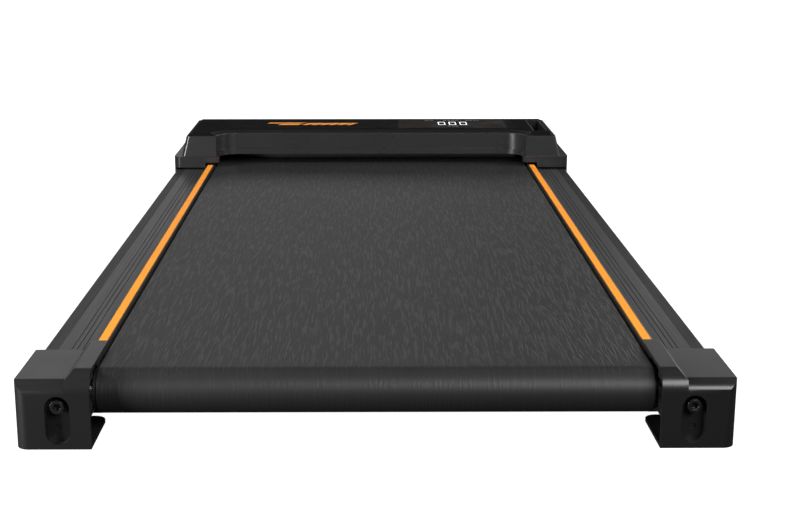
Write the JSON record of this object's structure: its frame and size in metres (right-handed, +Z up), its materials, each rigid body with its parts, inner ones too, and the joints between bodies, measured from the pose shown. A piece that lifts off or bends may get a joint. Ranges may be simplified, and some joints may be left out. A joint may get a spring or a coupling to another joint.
{
  "type": "treadmill",
  "caption": "Flat under-desk walking treadmill with side rails, belt over two rollers, rear tension caps and a low motor hood with display and remote pocket.",
  "frame": {"origin": "middle of the machine's outline, on the floor", "axes": "+Y from the rear roller end towards the motor hood, +X to the right of that direction, +Z up"},
  "size_m": [0.5254, 1.056, 0.096],
  "materials": {
    "rail_metal": "dark anodised, satin",
    "stripe_orange": "satin",
    "shell_plastic": "fine matt texture",
    "dark_plastic": "satin",
    "steel": "zinc plated",
    "black_steel": "black oxide",
    "belt_rubber": "embossed with short streaks",
    "deck_board": "pressed board, waxed top",
    "soft_rubber": "matt",
    "roller_black": "black, satin",
    "bearing_steel": "polished",
    "alloy": "machined",
    "motor_paint": "satin",
    "panel_gloss": "high gloss",
    "window_gloss": "smoked, high gloss",
    "circuit_board": "lacquered",
    "digit_white": "lit",
    "reset_red": "satin"
  },
  "bodies": {
    "base": {"rail_left": "rail_metal", "rail_right": "rail_metal", "stripe_left": "stripe_orange", "stripe_right": "stripe_orange", "rear_cap_left": "shell_plastic", "rear_cap_right": "shell_plastic", "slot_cup_left": "dark_plastic", "slot_cup_right": "dark_plastic", "rear_bracket_left": "steel", "rear_bracket_right": "steel", "belt": "belt_rubber", "deck": "deck_board", "deck_cushions": "soft_rubber", "cross_bars": "steel", "deck_screws": "steel", "front_roller_shaft": "steel", "motor_housing": "motor_paint", "motor_bracket": "steel", "drive_belt": "soft_rubber", "front_frame": "steel", "belt_guard": "dark_plastic", "frame_bolts": "steel", "bottom_cover": "shell_plastic", "cover_screws": "steel", "hood": "shell_plastic", "top_panel": "panel_gloss", "display_window": "window_gloss", "display_board": "circuit_board", "display_digits": "digit_white", "remote_pocket": "dark_plastic", "control_board": "circuit_board", "heat_sink": "alloy", "power_inlet": "dark_plastic", "switch_body": "dark_plastic", "breaker_body": "dark_plastic", "wheel_axles": "steel", "feet": "soft_rubber", "cap_screws": "steel"},
    "tensioner": {"tension_block_left": "alloy", "tension_block_right": "alloy", "rear_roller_shaft": "steel"},
    "rear_roller": {"rear_roller": "roller_black", "rear_roller_bearings": "bearing_steel"},
    "front_roller": {"front_roller": "roller_black", "front_roller_bearings": "bearing_steel", "roller_pulley": "alloy"},
    "motor_rotor": {"motor_shaft": "steel", "motor_pulley": "alloy", "cooling_fan": "dark_plastic"},
    "screw_left": {"tension_screw_left": "black_steel"},
    "screw_right": {"tension_screw_right": "black_steel"},
    "rocker": {"switch_rocker": "dark_plastic"},
    "reset": {"reset_button": "reset_red"},
    "wheel_left": {"wheel_left": "soft_rubber"},
    "wheel_right": {"wheel_right": "soft_rubber"}
  },
  "joints": [
    {"name": "front_roller_spin", "type": "hinge", "parent": "base", "child": "front_roller", "pos_m": [0, 0.409, 0.0358], "axis": [1, 0, 0], "continuous": true},
    {"name": "rear_tension", "type": "slide", "parent": "base", "child": "tensioner", "axis": [0, 1, 0], "range_m": [0, 0.008]},
    {"name": "rear_roller_spin", "type": "hinge", "parent": "tensioner", "child": "rear_roller", "pos_m": [0, -0.497, 0.0358], "axis": [1, 0, 0], "continuous": true},
    {"name": "motor_spin", "type": "hinge", "parent": "base", "child": "motor_rotor", "pos_m": [-0.1, 0.472, 0.05], "axis": [1, 0, 0], "continuous": true},
    {"name": "tension_screw_left_spin", "type": "hinge", "parent": "base", "child": "screw_left", "pos_m": [-0.231, -0.518, 0.0322], "axis": [0, 1, 0], "range_deg": [0, 2880]},
    {"name": "tension_screw_right_spin", "type": "hinge", "parent": "base", "child": "screw_right", "pos_m": [0.231, -0.518, 0.0322], "axis": [0, 1, 0], "range_deg": [0, 2880]},
    {"name": "power_rocker", "type": "hinge", "parent": "base", "child": "rocker", "pos_m": [0.163, 0.521, 0.041], "axis": [0, 0, 1], "range_deg": [0, 14]},
    {"name": "breaker_reset", "type": "slide", "parent": "base", "child": "reset", "axis": [0, -1, 0], "range_m": [0, 0.0025], "stiffness_N_per_m": 300, "springref_m": -0.001},
    {"name": "wheel_left_spin", "type": "hinge", "parent": "base", "child": "wheel_left", "pos_m": [-0.2485, 0.5078, 0.021], "axis": [1, 0, 0], "continuous": true},
    {"name": "wheel_right_spin", "type": "hinge", "parent": "base", "child": "wheel_right", "pos_m": [0.2485, 0.5078, 0.021], "axis": [1, 0, 0], "continuous": true}
  ],
  "couplings": [
    {"joint": "rear_roller_spin", "follows": "front_roller_spin", "ratio": 1},
    {"joint": "motor_spin", "follows": "front_roller_spin", "ratio": 2.1429},
    {"joint": "tension_screw_left_spin", "follows": "rear_tension", "rad_per_m": 6283.2},
    {"joint": "tension_screw_right_spin", "follows": "rear_tension", "rad_per_m": 6283.2}
  ]
}
